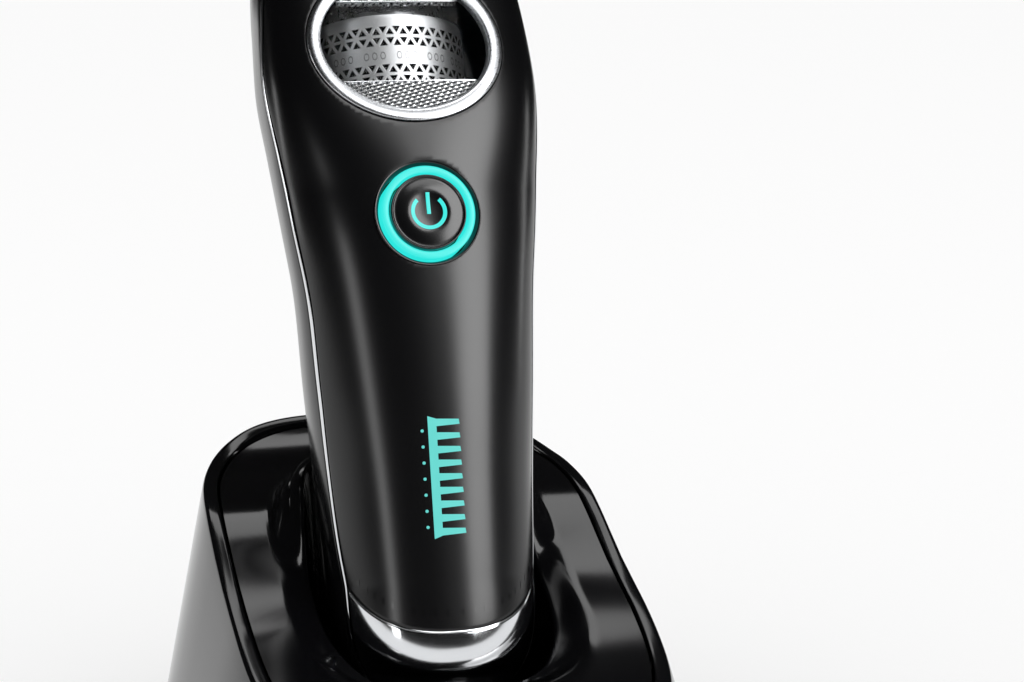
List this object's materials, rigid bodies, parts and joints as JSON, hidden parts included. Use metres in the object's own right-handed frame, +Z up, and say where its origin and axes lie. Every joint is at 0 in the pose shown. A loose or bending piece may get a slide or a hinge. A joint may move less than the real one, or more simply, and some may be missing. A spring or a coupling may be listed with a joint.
{
  "type": "hair clipper",
  "caption": "Cordless hair clipper with a viewing window over its motor, lit power button and taper lever, standing in a weighted charging dock.",
  "frame": {"origin": "on the table under the middle of the dock and clipper, at the lowest plane of the rubber feet", "axes": "+X to the right as seen from the front, +Y to the back, +Z up; the clipper leans 14 degrees back in the dock"},
  "size_m": [0.0914, 0.1163, 0.1922],
  "materials": {
    "piano_black": "high-gloss piano black moulding",
    "satin_black": "soft satin black lacquer",
    "gloss_black": "gloss black moulding",
    "chrome_plate": "polished chrome plating",
    "blade_steel": "ground and polished steel",
    "screw_steel": "plated steel",
    "silver_sleeve": "satin silver with punched pattern",
    "woven_plate": "silver with embossed basket weave",
    "clear_lens": "clear polished window",
    "teal_light": "lit teal light guide",
    "dark_plastic": "fine moulded texture",
    "frame_plastic": "moulded",
    "white_acetal": "smooth moulded acetal",
    "board_green": "solder resist over glass fibre",
    "cell_sleeve": "shrink sleeve",
    "copper_winding": "enamelled windings",
    "brass": "turned",
    "gold_contact": "gold plated",
    "black_rubber": "soft rubber",
    "ballast_steel": "plain steel plate"
  },
  "bodies": {
    "dock": {"dock_wall": "piano_black", "dock_deck": "piano_black", "dock_base_plate": "dark_plastic", "ballast_plate": "ballast_steel", "dock_circuit_board": "board_green", "power_inlet": "screw_steel", "contact_block": "dark_plastic", "pin_barrel_front": "brass", "pin_barrel_rear": "brass", "rubber_foot_1": "black_rubber", "rubber_foot_2": "black_rubber", "rubber_foot_3": "black_rubber", "rubber_foot_4": "black_rubber", "base_screw_1": "screw_steel", "base_screw_2": "screw_steel", "base_screw_3": "screw_steel", "base_screw_4": "screw_steel"},
    "front_pin": {"contact_pin_front": "gold_contact"},
    "rear_pin": {"contact_pin_rear": "gold_contact"},
    "clipper": {"front_cover": "satin_black", "end_plate": "chrome_plate", "back_shell": "gloss_black", "seam_trim_left": "chrome_plate", "seam_trim_right": "chrome_plate", "bottom_cap": "dark_plastic", "charge_contact_front": "gold_contact", "charge_contact_rear": "gold_contact", "charge_port": "screw_steel", "window_bezel": "chrome_plate", "window_lens": "clear_lens", "upper_window_plate": "woven_plate", "lower_window_plate": "woven_plate", "button_collar": "gloss_black", "light_ring": "teal_light", "button_switch": "dark_plastic", "motor_can": "blade_steel", "motor_endbell": "dark_plastic", "motor_sleeve": "silver_sleeve", "circuit_board": "board_green", "battery_cell": "cell_sleeve", "inner_frame": "frame_plastic", "fixed_blade": "blade_steel", "blade_bracket": "dark_plastic", "blade_screw_left": "screw_steel", "blade_screw_right": "screw_steel", "lever_washer": "brass", "shell_screw_lower": "screw_steel", "shell_screw_upper": "screw_steel"},
    "button": {"power_button": "gloss_black"},
    "rotor": {"motor_shaft": "blade_steel", "motor_rotor": "copper_winding", "eccentric_disc": "brass", "eccentric_pin": "blade_steel"},
    "lever": {"taper_lever": "chrome_plate", "lever_cam": "blade_steel", "lever_screw": "screw_steel"},
    "carriage": {"blade_carriage": "frame_plastic", "tension_spring": "blade_steel"},
    "cutter": {"moving_blade": "blade_steel", "drive_yoke": "white_acetal"}
  },
  "joints": [
    {"name": "clipper_lift", "type": "slide", "parent": "dock", "child": "clipper", "axis": [0, 0.2419, 0.9703], "range_m": [0, 0.08]},
    {"name": "front_pin_press", "type": "slide", "parent": "dock", "child": "front_pin", "axis": [0, 0.2419, 0.9703], "range_m": [-0.0006, 0], "stiffness_N_per_m": 300},
    {"name": "rear_pin_press", "type": "slide", "parent": "dock", "child": "rear_pin", "axis": [0, 0.2419, 0.9703], "range_m": [-0.0006, 0], "stiffness_N_per_m": 300},
    {"name": "power_button_press", "type": "slide", "parent": "clipper", "child": "button", "axis": [0, 0.9272, -0.3746], "range_m": [0, 0.0006], "stiffness_N_per_m": 1500},
    {"name": "taper_lever_swing", "type": "hinge", "parent": "clipper", "child": "lever", "pos_m": [-0.025, 0.04435, 0.16855], "axis": [1, 0, 0], "range_deg": [0, 50]},
    {"name": "blade_gap", "type": "slide", "parent": "clipper", "child": "carriage", "axis": [0, 0.2419, 0.9703], "range_m": [-0.0016, 0]},
    {"name": "cutter_stroke", "type": "slide", "parent": "carriage", "child": "cutter", "axis": [1, 0, 0], "range_m": [-0.0012, 0.0012]},
    {"name": "motor_spin", "type": "hinge", "parent": "clipper", "child": "rotor", "pos_m": [0, 0.02609, 0.13084], "axis": [0, 0.3584, 0.9336], "continuous": true}
  ],
  "couplings": [
    {"joint": "taper_lever_swing", "follows": "blade_gap", "rad_per_m": -546.4}
  ]
}
